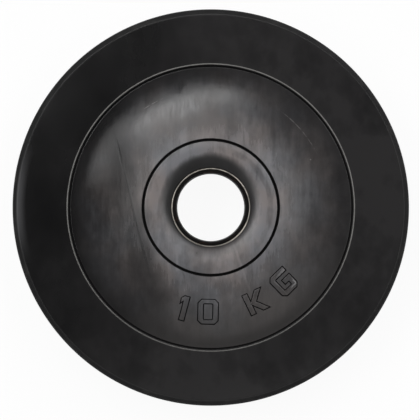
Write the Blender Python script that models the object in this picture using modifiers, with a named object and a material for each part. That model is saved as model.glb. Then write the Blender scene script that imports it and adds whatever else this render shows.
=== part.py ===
"""A 10 kg plastic weight plate: two moulded shells round a poured core, with a lined hole.

The plate lies flat. Z runs along the hole's axis, and the origin is the centre of the hole at the rear
hub's face. Each piece is modelled about the plate's middle plane and then placed, so heights count from
that plane. The rear shell and its plugs are modelled face up and turned over.
"""

from math import atan, cos, pi, radians, sin, sqrt

import bmesh
import bpy
from mathutils import Matrix

# Plate, widest at the joint between the shells, from where its side leans in by the draft to either face
OUTER_RADIUS = 0.150
HUB_THICKNESS = 0.056
SHELL_WALL = 0.004
SIDE_DRAFT = 0.0010
EDGE_ROUNDING = 0.004

# Face: flat hub land, dish that falls from it, and a small step up to the rim ring
LAND_INNER_RADIUS = 0.0425
LAND_OUTER_RADIUS = 0.0465
DISH_FOOT_RADIUS = 0.100
DISH_FALL = 0.0055
DISH_CURVE = 1.5
STEP_RADIUS = 0.1059
STEP_WIDTH = 0.0014
STEP_HEIGHT = 0.0010
RING_FALL = 0.0003

# Groove round the hub
GROOVE_RADIUS = 0.0506
GROOVE_WIDTH = 0.0020
GROOVE_DEPTH = 0.0020
GROOVE_DRAFT = 0.0002

# Hole: a steel sleeve with a collar that the core grips, and the funnel and spigot of each shell round it
BORE_RADIUS = 0.0260
SLEEVE_WALL = 0.0025
SLEEVE_RECESS = 0.0008
SLEEVE_EDGE_BREAK = 0.0004
COLLAR_RADIUS = 0.037
COLLAR_THICKNESS = 0.004
COLLAR_SIDES = 8
FUNNEL_DEPTH = 0.0055
SPIGOT_WALL = 0.0030
SPIGOT_LENGTH = 0.010

# Joint between the shells
TONGUE_WIDTH = 0.0014
TONGUE_HEIGHT = 0.0020

# Ribs inside the shells, which key the core
RIB_COUNT = 8
RIB_THICKNESS = 0.003
RIB_DEPTH = 0.007
RIB_INNER_RADIUS = 0.056
RIB_OUTER_RADIUS = 0.094

# Plugs in the rear shell
PLUG_CIRCLE_RADIUS = 0.074
PLUG_SINK = 0.0003
PLUG_HEAD_THICKNESS = 0.0012
PLUG_HEAD_OVERHANG = 0.0025
PLUG_BARB = 0.0006
PLUG_BARB_LENGTH = 0.0024
FILL_HOLE_RADIUS = 0.0085
VENT_HOLE_RADIUS = 0.0040

# Raised weight mark, in block strokes whose tops point at the hole
MARK_CIRCLE_RADIUS = 0.0781
MARK_HEIGHT = 0.0184
MARK_WIDTH = 0.0150
MARK_STROKE = 0.0038
MARK_CORNER = 0.0026
ONE_FLAG = 0.0020
ZERO_END_STROKE = 0.0030
KAY_HEIGHT = 0.0164
KAY_ARM_WIDTH = 0.0049
KAY_ARM_ROOT = 0.0010
MARK_RELIEF = 0.0008
MARK_ROOT = 0.0015
ONE_ANGLE = radians(-14.7)
ZERO_ANGLE = radians(-1.5)
KAY_ANGLE = radians(25.6)
GEE_ANGLE = radians(44.2)

# Clearance between pieces, and how finely round shapes are drawn
FIT = 0.0003
TURNING_STEPS = 56
PLUG_STEPS = 24
OUTER_ARC_STEPS = 5
OUTER_DISH_STEPS = 5
INNER_ARC_STEPS = 2
INNER_DISH_STEPS = 3
SMOOTH_ANGLE = radians(25)
MERGE_DISTANCE = 0.00001
LEAST_CUT = 0.0001
CUT_MARGIN = 0.002

# Worked out from the above
MIDDLE = HUB_THICKNESS / 2
SLEEVE_RADIUS = BORE_RADIUS + SLEEVE_WALL
LIP_RADIUS = SLEEVE_RADIUS + FIT
SPIGOT_RADIUS = LIP_RADIUS + SPIGOT_WALL
LIP_HEIGHT = MIDDLE - FUNNEL_DEPTH
SPIGOT_END = LIP_HEIGHT - SPIGOT_LENGTH
MARGIN_HEIGHT = MIDDLE - DISH_FALL
RIM_RADIUS = OUTER_RADIUS - SIDE_DRAFT
RING_EDGE_HEIGHT = MARGIN_HEIGHT + STEP_HEIGHT - RING_FALL
INNER_WALL_RADIUS = OUTER_RADIUS - SHELL_WALL
INNER_RIM_RADIUS = RIM_RADIUS - SHELL_WALL
INNER_ROUNDING = max(EDGE_ROUNDING - SHELL_WALL, SHELL_WALL / 2)

UPRIGHT = Matrix.Translation((0, 0, MIDDLE))
UPSIDE_DOWN = Matrix.Rotation(pi, 4, "X")
TURNED_OVER = UPRIGHT @ UPSIDE_DOWN

PLUGS = [("fill_plug", FILL_HOLE_RADIUS, 0), ("vent_plug", VENT_HOLE_RADIUS, pi)]


def clear_scene():
    for thing in list(bpy.data.objects):
        bpy.data.objects.remove(thing, do_unlink=True)


def new_collection(name):
    collection = bpy.data.collections.new(name)
    bpy.context.scene.collection.children.link(collection)
    return collection


def new_material(name, colour, roughness, metallic=0.0):
    material = bpy.data.materials.new(name)
    material.use_nodes = True
    shader = material.node_tree.nodes["Principled BSDF"]
    shader.inputs["Base Color"].default_value = (*colour, 1)
    shader.inputs["Roughness"].default_value = roughness
    shader.inputs["Metallic"].default_value = metallic
    return material


def arc(centre, radii, start, end, parts):
    """Points of an upright elliptical arc, with its angles in degrees from the +X side."""
    angles = [radians(start + (end - start) * i / parts) for i in range(parts + 1)]
    return [(centre[0] + radii[0] * cos(a), centre[1] + radii[1] * sin(a)) for a in angles]


def regular_loop(radius, sides):
    return arc((0, 0), (radius, radius), 0, 360, sides)[:-1]


def spaced(start, end, parts):
    return [start + (end - start) * i / parts for i in range(parts + 1)]


def dish_share(radius):
    """How much of the dish lies outside this radius: 1 at the hub's land and 0 at the dish's foot."""
    share = (DISH_FOOT_RADIUS - radius) / (DISH_FOOT_RADIUS - LAND_OUTER_RADIUS)
    return min(max(share, 0), 1)


def face_height(radius):
    return MARGIN_HEIGHT + DISH_FALL * dish_share(radius) ** DISH_CURVE


def face_tilt(radius):
    """The angle at which the dish falls outwards at this radius."""
    slope = DISH_FALL * DISH_CURVE * dish_share(radius) ** (DISH_CURVE - 1)
    return atan(slope / (DISH_FOOT_RADIUS - LAND_OUTER_RADIUS))


def as_mesh(source):
    """Replaces a curve, or an object with modifiers, by the closed mesh that it makes."""
    bpy.context.scene.collection.objects.link(source)
    graph = bpy.context.evaluated_depsgraph_get()
    mesh = bpy.data.meshes.new_from_object(source.evaluated_get(graph))
    name = source.name
    bpy.data.objects.remove(source, do_unlink=True)
    thing = bpy.data.objects.new(name, mesh)
    shape = bmesh.new()
    shape.from_mesh(mesh)
    bmesh.ops.remove_doubles(shape, verts=shape.verts, dist=MERGE_DISTANCE)
    shape.to_mesh(mesh)
    shape.free()
    return thing


def turned(name, outline, steps=TURNING_STEPS):
    """A profile of (radius, height) points turned about Z. It runs from top to bottom on its outer side.

    A profile that starts on the axis also ends there. Any other is closed into a ring.
    """
    points = [(radius, 0, height) for radius, height in outline]
    edges = [(i, i + 1) for i in range(len(points) - 1)]
    if outline[0][0] > 0:
        edges.append((len(points) - 1, 0))
    mesh = bpy.data.meshes.new(name)
    mesh.from_pydata(points, edges, [])
    guide = bpy.data.objects.new(name, mesh)
    screw = guide.modifiers.new("turn", "SCREW")
    screw.axis = "Z"
    screw.steps = steps
    screw.render_steps = steps
    screw.use_merge_vertices = True
    screw.merge_threshold = MERGE_DISTANCE
    thing = as_mesh(guide)
    thing.data.shade_smooth()
    thing.data.set_sharp_from_angle(angle=SMOOTH_ANGLE)
    return thing


def flat_outline(name, loops, thickness):
    """Closed loops in the XY plane, filled and extruded by half the thickness to each side."""
    curve = bpy.data.curves.new(name, "CURVE")
    curve.dimensions = "2D"
    curve.fill_mode = "BOTH"
    curve.extrude = thickness / 2
    for loop in loops:
        spline = curve.splines.new("POLY")
        spline.points.add(len(loop) - 1)
        for point, (x, y) in zip(spline.points, loop):
            point.co = (x, y, 0, 1)
        spline.use_cyclic_u = True
    return as_mesh(bpy.data.objects.new(name, curve))


def repeated(thing, matrices):
    """Replaces the thing's mesh by one that holds a copy of it at each matrix."""
    single = thing.data
    shape = bmesh.new()
    for matrix in matrices:
        copy = single.copy()
        copy.transform(matrix)
        shape.from_mesh(copy)
        bpy.data.meshes.remove(copy)
    thing.data = bpy.data.meshes.new(thing.name)
    shape.to_mesh(thing.data)
    shape.free()
    bpy.data.meshes.remove(single)
    return thing


def combine(thing, tool, operation):
    """Adds a tool to the thing, or cuts it out, where the tool stands."""
    bpy.data.collections["cutters"].objects.link(tool)
    tool.hide_render = True
    tool.display_type = "WIRE"
    boolean = thing.modifiers.new(f"{operation} {tool.name}", "BOOLEAN")
    boolean.operation = operation
    boolean.solver = "EXACT"
    boolean.object = tool


def outer_outline():
    """The shell's outside, from the lip of the funnel out over the face and down to the joint."""
    funnel_width = LAND_INNER_RADIUS - LIP_RADIUS
    outline = arc((LAND_INNER_RADIUS, LIP_HEIGHT), (funnel_width, FUNNEL_DEPTH), 180, 90, OUTER_ARC_STEPS)
    outline.append((LAND_OUTER_RADIUS, MIDDLE))
    groove_start = GROOVE_RADIUS - GROOVE_WIDTH / 2
    groove_end = GROOVE_RADIUS + GROOVE_WIDTH / 2
    groove_floor = face_height(GROOVE_RADIUS) - GROOVE_DEPTH
    outline.append((groove_start, face_height(groove_start)))
    outline.append((groove_start + GROOVE_DRAFT, groove_floor))
    outline.append((groove_end - GROOVE_DRAFT, groove_floor))
    radii = spaced(groove_end, DISH_FOOT_RADIUS, OUTER_DISH_STEPS)
    outline += [(radius, face_height(radius)) for radius in radii]
    outline.append((STEP_RADIUS, MARGIN_HEIGHT))
    outline.append((STEP_RADIUS + STEP_WIDTH, MARGIN_HEIGHT + STEP_HEIGHT))
    edge_centre = (RIM_RADIUS - EDGE_ROUNDING, RING_EDGE_HEIGHT - EDGE_ROUNDING)
    outline += arc(edge_centre, (EDGE_ROUNDING, EDGE_ROUNDING), 90, 0, OUTER_ARC_STEPS)
    return outline


def inner_outline(gap=0.0):
    """The shell's inside, from the outer wall in to the root of the spigot, drawn in by the gap."""
    corner = (INNER_RIM_RADIUS - INNER_ROUNDING, RING_EDGE_HEIGHT - SHELL_WALL - INNER_ROUNDING)
    corner_radius = INNER_ROUNDING - gap
    outline = arc(corner, (corner_radius, corner_radius), 0, 90, INNER_ARC_STEPS)
    radii = spaced(DISH_FOOT_RADIUS, LAND_OUTER_RADIUS, INNER_DISH_STEPS)
    outline += [(radius, face_height(radius) - SHELL_WALL - gap) for radius in radii]
    root_width = LAND_INNER_RADIUS - SPIGOT_RADIUS - gap
    root_depth = FUNNEL_DEPTH - SHELL_WALL - gap
    outline += arc((LAND_INNER_RADIUS, LIP_HEIGHT), (root_width, root_depth), 90, 180, INNER_ARC_STEPS)
    return outline


def joint_outline(extra_width, depth):
    """The shell's joint face, from its outer edge in: a tongue, or a groove where the depth is negative."""
    middle = OUTER_RADIUS - SHELL_WALL / 2
    half_width = TONGUE_WIDTH / 2 + extra_width
    level = FIT / 2
    return [
        (OUTER_RADIUS, level),
        (middle + half_width, level),
        (middle + half_width, -depth),
        (middle - half_width, -depth),
        (middle - half_width, level),
        (INNER_WALL_RADIUS, level),
    ]


def rib_outline(gap=0.0):
    """One rib, as (radius, height) points from halfway into the shell's wall down into the core."""
    start = RIB_INNER_RADIUS - gap
    end = RIB_OUTER_RADIUS + gap
    start_top = face_height(start) - SHELL_WALL / 2
    end_top = face_height(end) - SHELL_WALL / 2
    height = SHELL_WALL / 2 + RIB_DEPTH + gap
    return [(start, start_top), (end, end_top), (end, end_top - height), (start, start_top - height)]


def ribs(name, gap=0.0):
    rib = flat_outline(name, [rib_outline(gap)], RIB_THICKNESS + 2 * gap)
    stand_up = Matrix.Rotation(pi / 2, 4, "X")
    turns = [2 * pi * (i + 0.5) / RIB_COUNT for i in range(RIB_COUNT)]
    return repeated(rib, [Matrix.Rotation(turn, 4, "Z") @ stand_up for turn in turns])


def shell(name, joint):
    spigot_end = [(SPIGOT_RADIUS, SPIGOT_END), (LIP_RADIUS, SPIGOT_END)]
    thing = turned(name, outer_outline() + joint + inner_outline() + spigot_end)
    combine(thing, ribs(f"{name}_ribs"), "UNION")
    return thing


def move(thing, matrix):
    """Places a piece together with the tools that its modifiers use."""
    for each in [thing, *[modifier.object for modifier in thing.modifiers]]:
        each.matrix_world = matrix @ each.matrix_world


def block_loop(side_inset=0.0, end_inset=0.0):
    """An upright rectangle with cut corners, drawn in from the mark's full size at its sides and ends."""
    right = MARK_WIDTH / 2 - side_inset
    top = MARK_HEIGHT / 2 - end_inset
    cut = max(MARK_CORNER - side_inset * (2 - sqrt(2)), LEAST_CUT)
    quarter = [(right, top - cut), (right - cut, top)]
    left_quarter = [(-x, y) for x, y in reversed(quarter)]
    upper = quarter + left_quarter
    return upper + [(-x, -y) for x, y in upper]


def one_loops():
    edge = MARK_STROKE / 2
    top = MARK_HEIGHT / 2
    flag_edge = -edge - ONE_FLAG
    flag_top = top - ONE_FLAG
    return [
        [
            (edge, -top),
            (edge, top),
            (-edge, top),
            (flag_edge, flag_top),
            (flag_edge, flag_top - MARK_STROKE),
            (-edge, top - MARK_STROKE),
            (-edge, -top),
        ]
    ]


def zero_loops():
    return [block_loop(), block_loop(MARK_STROKE, ZERO_END_STROKE)]


def kay_loops():
    right = MARK_WIDTH / 2
    top = KAY_HEIGHT / 2
    stem = MARK_STROKE - right
    arm = right - KAY_ARM_WIDTH
    run = (arm - stem) / (top - KAY_ARM_ROOT)
    notch = (right - top * run, 0)
    upper = [(right, top), (arm, top), (stem, KAY_ARM_ROOT), (stem, top), (-right, top)]
    return [[notch, *upper, *[(x, -y) for x, y in reversed(upper)]]]


def gee_loops():
    """The cut-cornered block, open at its upper right, with a bar that runs in from its right side."""
    right = MARK_WIDTH / 2
    top = MARK_HEIGHT / 2
    outer = block_loop()[1:]
    inner = block_loop(MARK_STROKE, MARK_STROKE)[1:]
    bar_top = MARK_STROKE / 2
    bar = [(right, bar_top), (0, bar_top), (0, -bar_top), (right - MARK_STROKE, -bar_top)]
    return [[(right, top), *outer[1:], *bar, *reversed(inner[1:]), (right, top - MARK_STROKE)]]


def mark(name, loops, angle):
    """One raised sign on the dish, with its foot sunk into the shell's wall."""
    sign = flat_outline(name, loops, MARK_RELIEF + MARK_ROOT)
    lift = (MARK_RELIEF - MARK_ROOT) / 2
    tilt = Matrix.Rotation(face_tilt(MARK_CIRCLE_RADIUS), 4, "X")
    seat = Matrix.Translation((0, -MARK_CIRCLE_RADIUS, face_height(MARK_CIRCLE_RADIUS)))
    sign.data.transform(Matrix.Rotation(angle, 4, "Z") @ seat @ tilt @ Matrix.Translation((0, 0, lift)))
    return sign


def plug_pose(angle):
    """The seat of a plug on the dish, square to the face."""
    tilt = Matrix.Rotation(face_tilt(PLUG_CIRCLE_RADIUS), 4, "Y")
    seat = Matrix.Translation((PLUG_CIRCLE_RADIUS, 0, face_height(PLUG_CIRCLE_RADIUS)))
    return Matrix.Rotation(angle, 4, "Z") @ seat @ tilt


def plug(name, hole_radius):
    """A push-in plug: a flat head, a stem, and a barb that snaps behind the shell's wall."""
    stem = hole_radius - FIT
    head = hole_radius + PLUG_HEAD_OVERHANG
    head_bottom = -PLUG_SINK - PLUG_HEAD_THICKNESS
    shoulder = -SHELL_WALL - FIT
    tip = shoulder - PLUG_BARB_LENGTH
    outline = [
        (0, -PLUG_SINK),
        (head, -PLUG_SINK),
        (head, head_bottom),
        (stem, head_bottom),
        (stem, shoulder),
        (hole_radius + PLUG_BARB, shoulder),
        (stem, tip),
        (0, tip),
    ]
    return turned(name, outline, PLUG_STEPS)


def plug_seat(name, hole_radius):
    """What a plug's head and stem need cut from the shell."""
    head = hole_radius + PLUG_HEAD_OVERHANG + FIT
    seat = -PLUG_SINK - PLUG_HEAD_THICKNESS - FIT
    bottom = -SHELL_WALL - CUT_MARGIN
    head_cut = [(0, CUT_MARGIN), (head, CUT_MARGIN), (head, seat)]
    stem_cut = [(hole_radius, seat), (hole_radius, bottom), (0, bottom)]
    return turned(name, head_cut + stem_cut, PLUG_STEPS)


def plug_pocket(name, hole_radius):
    """What a plug's barb needs cut from the core."""
    radius = hole_radius + PLUG_BARB + FIT
    bottom = -SHELL_WALL - PLUG_BARB_LENGTH - 2 * FIT
    return turned(name, [(0, 0), (radius, 0), (radius, bottom), (0, bottom)], PLUG_STEPS)


def make_front_shell():
    thing = shell("front_shell", joint_outline(0, TONGUE_HEIGHT))
    signs = [
        ("mark_one", one_loops(), ONE_ANGLE),
        ("mark_zero", zero_loops(), ZERO_ANGLE),
        ("mark_kay", kay_loops(), KAY_ANGLE),
        ("mark_gee", gee_loops(), GEE_ANGLE),
    ]
    for name, loops, angle in signs:
        combine(thing, mark(name, loops, angle), "UNION")
    move(thing, UPRIGHT)
    return thing


def make_rear_shell():
    thing = shell("rear_shell", joint_outline(FIT, -TONGUE_HEIGHT - FIT))
    for name, hole_radius, angle in PLUGS:
        seat = plug_seat(f"{name}_seat", hole_radius)
        seat.data.transform(plug_pose(angle))
        combine(thing, seat, "DIFFERENCE")
    move(thing, TURNED_OVER)
    return thing


def make_plugs():
    things = []
    for name, hole_radius, angle in PLUGS:
        thing = plug(name, hole_radius)
        thing.matrix_world = TURNED_OVER @ plug_pose(angle)
        things.append(thing)
    return things


def make_bore_sleeve():
    end = LIP_HEIGHT - SLEEVE_RECESS
    broken = end - SLEEVE_EDGE_BREAK
    broken_radius = BORE_RADIUS + SLEEVE_EDGE_BREAK
    upper = [(BORE_RADIUS, broken), (broken_radius, end), (SLEEVE_RADIUS, end)]
    thing = turned("bore_sleeve", upper + [(radius, -height) for radius, height in reversed(upper)])
    wall_middle = SLEEVE_RADIUS - SLEEVE_WALL / 2
    loops = [regular_loop(COLLAR_RADIUS, COLLAR_SIDES), regular_loop(wall_middle, TURNING_STEPS)]
    combine(thing, flat_outline("sleeve_collar", loops, COLLAR_THICKNESS), "UNION")
    move(thing, UPRIGHT)
    return thing


def make_core_filling():
    """The poured core, which fills the shells up to a small gap and takes the shape of all that it meets."""
    spigot_end = SPIGOT_END - FIT
    upper = [(LIP_RADIUS, spigot_end), (SPIGOT_RADIUS + FIT, spigot_end), *reversed(inner_outline(FIT))]
    belt = (INNER_WALL_RADIUS - FIT, 0)
    thing = turned("core_filling", [*upper, belt, *[(radius, -height) for radius, height in reversed(upper)]])
    collar_radius = COLLAR_RADIUS + FIT / cos(pi / COLLAR_SIDES)
    collar = [regular_loop(collar_radius, COLLAR_SIDES)]
    combine(thing, flat_outline("collar_pocket", collar, COLLAR_THICKNESS + 2 * FIT), "DIFFERENCE")
    combine(thing, ribs("front_rib_slots", FIT), "DIFFERENCE")
    rear_slots = ribs("rear_rib_slots", FIT)
    rear_slots.data.transform(UPSIDE_DOWN)
    combine(thing, rear_slots, "DIFFERENCE")
    for name, hole_radius, angle in PLUGS:
        pocket = plug_pocket(f"{name}_pocket", hole_radius)
        pocket.data.transform(UPSIDE_DOWN @ plug_pose(angle))
        combine(thing, pocket, "DIFFERENCE")
    move(thing, UPRIGHT)
    return thing


def make_plate():
    plate = new_collection("weight_plate")
    new_collection("cutters")
    shell_plastic = new_material("shell_plastic", (0.018, 0.017, 0.018), 0.42)
    plug_plastic = new_material("plug_plastic", (0.012, 0.012, 0.013), 0.55)
    black_steel = new_material("black_steel", (0.012, 0.010, 0.009), 0.45, 0.3)
    core_mix = new_material("core_mix", (0.16, 0.14, 0.12), 0.9)
    pieces = [
        (make_front_shell(), shell_plastic),
        (make_rear_shell(), shell_plastic),
        (make_core_filling(), core_mix),
        (make_bore_sleeve(), black_steel),
        *[(thing, plug_plastic) for thing in make_plugs()],
    ]
    for piece, finish in pieces:
        plate.objects.link(piece)
        piece.data.materials.append(finish)


clear_scene()
make_plate()
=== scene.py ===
from math import atan, cos, pi, radians, sin, sqrt, tan

import bmesh
import bpy
from mathutils import Matrix, Vector


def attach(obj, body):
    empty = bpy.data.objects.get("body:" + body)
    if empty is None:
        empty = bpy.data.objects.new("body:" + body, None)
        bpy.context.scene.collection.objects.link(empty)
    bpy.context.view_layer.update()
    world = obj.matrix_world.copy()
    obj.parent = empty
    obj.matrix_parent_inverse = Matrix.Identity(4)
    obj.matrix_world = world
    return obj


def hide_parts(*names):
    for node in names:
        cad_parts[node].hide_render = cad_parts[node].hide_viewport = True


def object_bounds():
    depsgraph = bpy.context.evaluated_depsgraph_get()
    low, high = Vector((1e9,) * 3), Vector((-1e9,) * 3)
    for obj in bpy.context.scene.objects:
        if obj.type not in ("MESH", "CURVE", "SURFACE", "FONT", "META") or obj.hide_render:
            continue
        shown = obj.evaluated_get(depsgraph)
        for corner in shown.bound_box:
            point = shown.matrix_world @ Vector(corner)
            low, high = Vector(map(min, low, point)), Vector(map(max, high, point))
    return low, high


# A 10 kg plastic weight plate that lies flat, seen from straight above.
# The shells, the hole's sleeve and the plugs are modelled finely here and stand for their solids.
# The core keeps its own solid and gets a new finish.
# Metres, +Z up. Heights count from the plate's middle plane until a piece is placed.

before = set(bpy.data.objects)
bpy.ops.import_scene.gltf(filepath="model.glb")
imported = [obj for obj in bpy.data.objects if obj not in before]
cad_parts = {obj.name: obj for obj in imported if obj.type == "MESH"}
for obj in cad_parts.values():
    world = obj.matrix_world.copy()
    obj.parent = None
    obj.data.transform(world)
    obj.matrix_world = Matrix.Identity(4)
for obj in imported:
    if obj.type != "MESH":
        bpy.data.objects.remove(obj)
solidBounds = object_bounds()
print("frame loaded with", len(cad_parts), "solids")

smallest = 0.000002  # points closer than this are one
sharpAngle = 28  # degrees, for an edge that isn't shaded smooth


# Shapes

def newPiece(name, shape, finishes=()):
    # a finished bmesh becomes a shown object, smooth but for its sharp edges
    bmesh.ops.remove_doubles(shape, verts=shape.verts, dist=smallest)
    bmesh.ops.recalc_face_normals(shape, faces=shape.faces)
    mesh = bpy.data.meshes.new(name)
    for finish in finishes:
        mesh.materials.append(finish)
    shape.to_mesh(mesh)
    shape.free()
    mesh.shade_smooth()
    mesh.set_sharp_from_angle(angle=radians(sharpAngle))
    piece = bpy.data.objects.new(name, mesh)
    bpy.context.scene.collection.objects.link(piece)
    return piece


def combine(piece, tool, operation, finishIndex=0):
    # adds a tool to the piece or cuts it out, and applies that at once
    # the tool's faces get one of the piece's finishes
    for finish in piece.data.materials:
        tool.data.materials.append(finish)
    for face in tool.data.polygons:
        face.material_index = finishIndex
    cut = piece.modifiers.new(tool.name, "BOOLEAN")
    cut.operation = operation
    cut.solver = "EXACT"
    cut.object = tool
    graph = bpy.context.evaluated_depsgraph_get()
    mesh = bpy.data.meshes.new_from_object(piece.evaluated_get(graph))
    piece.modifiers.clear()
    old = piece.data
    piece.data = mesh
    mesh.name = piece.name
    bpy.data.meshes.remove(old)
    bpy.data.objects.remove(tool, do_unlink=True)
    mesh.shade_smooth()
    mesh.set_sharp_from_angle(angle=radians(sharpAngle))


def spinOutline(outline, steps, closed=True):
    # an outline of (radius, height) points turned about Z; an open one starts and ends on the axis
    shape = bmesh.new()
    points = [shape.verts.new((radius, 0, height)) for radius, height in outline]
    following = points[1:] + points[:1] if closed else points[1:]
    edges = [shape.edges.new(pair) for pair in zip(points, following)]
    bmesh.ops.spin(shape, geom=points + edges, cent=(0, 0, 0), axis=(0, 0, 1), angle=2 * pi, steps=steps,
                   use_merge=True)
    if not closed:
        bmesh.ops.remove_doubles(shape, verts=shape.verts, dist=smallest)
    return shape


def arc(centre, radii, start, end, parts):
    # points of an elliptical arc, in degrees from +X
    angles = [radians(start + (end - start) * i / parts) for i in range(parts + 1)]
    return [(centre[0] + radii[0] * cos(a), centre[1] + radii[1] * sin(a)) for a in angles]


def rounded(corners, parts=4):
    # (x, y, fillet) corners become a line of points, with each corner that has a fillet as an arc
    points = []
    for i, (x, y, fillet) in enumerate(corners):
        if fillet == 0:
            points.append((x, y))
            continue
        here = Vector((x, y))
        before = (Vector(corners[i - 1][:2]) - here).normalized()
        after = (Vector(corners[(i + 1) % len(corners)][:2]) - here).normalized()
        half = before.angle(after) / 2
        centre = here + (before + after).normalized() * (fillet / sin(half))
        first = here + before * (fillet / tan(half)) - centre
        turn = first.angle_signed(here + after * (fillet / tan(half)) - centre)
        for j in range(parts + 1):
            step = Matrix.Rotation(-turn * j / parts, 2) @ first
            points.append((centre.x + step.x, centre.y + step.y))
    return points


def grown(loop, margin):
    # a closed loop, run anticlockwise, with each side moved outwards by the margin
    moved = []
    for i, here in enumerate(loop):
        here = Vector(here)
        before = (here - Vector(loop[i - 1])).normalized()
        after = (Vector(loop[(i + 1) % len(loop)]) - here).normalized()
        outBefore = Vector((before.y, -before.x))
        outAfter = Vector((after.y, -after.x))
        corner = (outBefore + outAfter) / (1 + outBefore.dot(outAfter))
        moved.append(tuple(here + corner * margin))
    return moved


def lift(shape, faces, height):
    points = list({point for face in faces for point in face.verts})
    bmesh.ops.translate(shape, verts=points, vec=(0, 0, height))


def prism(loops, bottom, top, draft=0.0, bevel=0.0):
    # one loop, or an outer and an inner one, filled and raised; the draft slopes what stands above z = 0
    shape = bmesh.new()
    rings = []
    for loop in loops:
        points = [shape.verts.new((x, y, bottom)) for x, y in loop]
        rings.append([shape.edges.new(pair) for pair in zip(points, points[1:] + points[:1])])
    if len(loops) == 1:
        faces = [shape.faces.new([edge.verts[0] for edge in rings[0]])]
    else:
        faces = bmesh.ops.bridge_loops(shape, edges=rings[0] + rings[1])["faces"]
    raised = bmesh.ops.extrude_face_region(shape, geom=faces, use_keep_orig=True)["geom"]
    upper = [item for item in raised if isinstance(item, bmesh.types.BMFace)]
    lift(shape, upper, (0 if draft else top) - bottom)
    bmesh.ops.recalc_face_normals(shape, faces=shape.faces)
    if draft:
        bmesh.ops.inset_region(shape, faces=upper, thickness=draft, depth=0, use_boundary=True,
                               use_even_offset=True)
        lift(shape, upper, top)
    if bevel:
        inUpper = set(upper)
        rim = [edge for edge in shape.edges if len(inUpper.intersection(edge.link_faces)) == 1]
        bmesh.ops.bevel(shape, geom=rim, offset=bevel, affect="EDGES", segments=2, profile=0.5, material=-1)
    return shape


def joined(shapes):
    # several bmeshes put into one
    whole = bmesh.new()
    for shape in shapes:
        mesh = bpy.data.meshes.new("part")
        shape.to_mesh(mesh)
        shape.free()
        whole.from_mesh(mesh)
        bpy.data.meshes.remove(mesh)
    return whole


# Finishes

def feed(tree, socket, value):
    # another node's output is linked, and a plain value is set
    if isinstance(value, bpy.types.NodeSocket):
        tree.links.new(value, socket)
    else:
        socket.default_value = value


def addNode(tree, kind, inputs=None, **settings):
    made = tree.nodes.new(kind)
    for key, value in settings.items():
        setattr(made, key, value)
    for key, value in (inputs or {}).items():
        feed(tree, made.inputs[key], value)
    return made


def calc(tree, operation, *terms, clamp=False):
    made = addNode(tree, "ShaderNodeMath", dict(enumerate(terms)), operation=operation, use_clamp=clamp)
    return made.outputs[0]


def chain(tree, operation, first, *others):
    # one operation over several values, from the left
    for other in others:
        first = calc(tree, operation, first, other)
    return first


def times(tree, *factors):
    return chain(tree, "MULTIPLY", *factors)


def scaled(tree, value, share, change):
    # the value, times 1 + change where the share is 1
    return times(tree, value, calc(tree, "MULTIPLY_ADD", share, change, 1.0))


def vectorCalc(tree, operation, *terms):
    made = addNode(tree, "ShaderNodeVectorMath", dict(enumerate(terms)), operation=operation)
    return made.outputs["Value"]


def along(tree, place, direction):
    # how far a place lies in the direction, in metres
    return vectorCalc(tree, "DOT_PRODUCT", place, direction)


def ramp(tree, value, low, high, start=0.0, end=1.0):
    # a soft step from start to end, as the value goes from low to high
    inputs = {"Value": value, "From Min": low, "From Max": high, "To Min": start, "To Max": end}
    return addNode(tree, "ShaderNodeMapRange", inputs, interpolation_type="SMOOTHSTEP").outputs["Result"]


def band(tree, value, centre, halfWidth, soft):
    # 1 near the centre, falling softly to 0 outside the half width
    away = calc(tree, "ABSOLUTE", calc(tree, "SUBTRACT", value, centre))
    return ramp(tree, away, halfWidth, halfWidth + soft, 1.0, 0.0)


def softStretch(tree, value, centre, halfLength, full=0.6):
    # a band that is full over this share of its length and fades out at its ends
    return band(tree, value, centre, halfLength * full, halfLength * (1 - full))


def noise(tree, place, scale, detail=3.0, stretch=(1, 1, 1), shift=(0, 0, 0), roughness=0.5):
    # each texture in the finishes below gives its settings in this order
    mapping = addNode(tree, "ShaderNodeMapping", {"Vector": place, "Scale": stretch, "Location": shift})
    inputs = {"Vector": mapping.outputs[0], "Scale": scale, "Detail": detail, "Roughness": roughness}
    return addNode(tree, "ShaderNodeTexNoise", inputs).outputs["Fac"]


def curve(tree, value, stops):
    # straight lines between (value, level) stops
    made = addNode(tree, "ShaderNodeValToRGB", {"Fac": value})
    points = made.color_ramp.elements
    while len(points) < len(stops):
        points.new(1.0)
    for point, (position, level) in zip(points, stops.items()):
        point.position = position
        point.color = (level, level, level, 1)
    return made.outputs["Color"]


def mixColour(tree, share, first, second):
    # inputs 6 and 7 and output 2 are the node's colours
    made = addNode(tree, "ShaderNodeMix", data_type="RGBA")
    for key, value in ((0, share), (6, first), (7, second)):
        feed(tree, made.inputs[key], (*value, 1) if isinstance(value, tuple) else value)
    return made.outputs[2]


def mixValue(tree, share, first, second):
    # share 0 gives the first and 1 the second
    return calc(tree, "ADD", first, times(tree, share, calc(tree, "SUBTRACT", second, first)))


def newFinish(name):
    finish = bpy.data.materials.new(name)
    finish.use_nodes = True
    tree = finish.node_tree
    place = addNode(tree, "ShaderNodeTexCoord").outputs["Object"]
    return finish, tree, tree.nodes["Principled BSDF"], place


def dress(tree, shader, colour, roughness, specular=0.5):
    feed(tree, shader.inputs["Base Color"], colour)
    feed(tree, shader.inputs["Roughness"], roughness)
    shader.inputs["Specular IOR Level"].default_value = specular


def addBump(tree, shader, layers):
    # (height, distance) layers, one on top of the other
    normal = None
    for height, distance in layers:
        inputs = {"Height": height, "Distance": distance, "Strength": 1.0}
        if normal:
            inputs["Normal"] = normal
        normal = addNode(tree, "ShaderNodeBump", inputs).outputs["Normal"]
    tree.links.new(normal, shader.inputs["Normal"])


# Camera and studio

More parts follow.
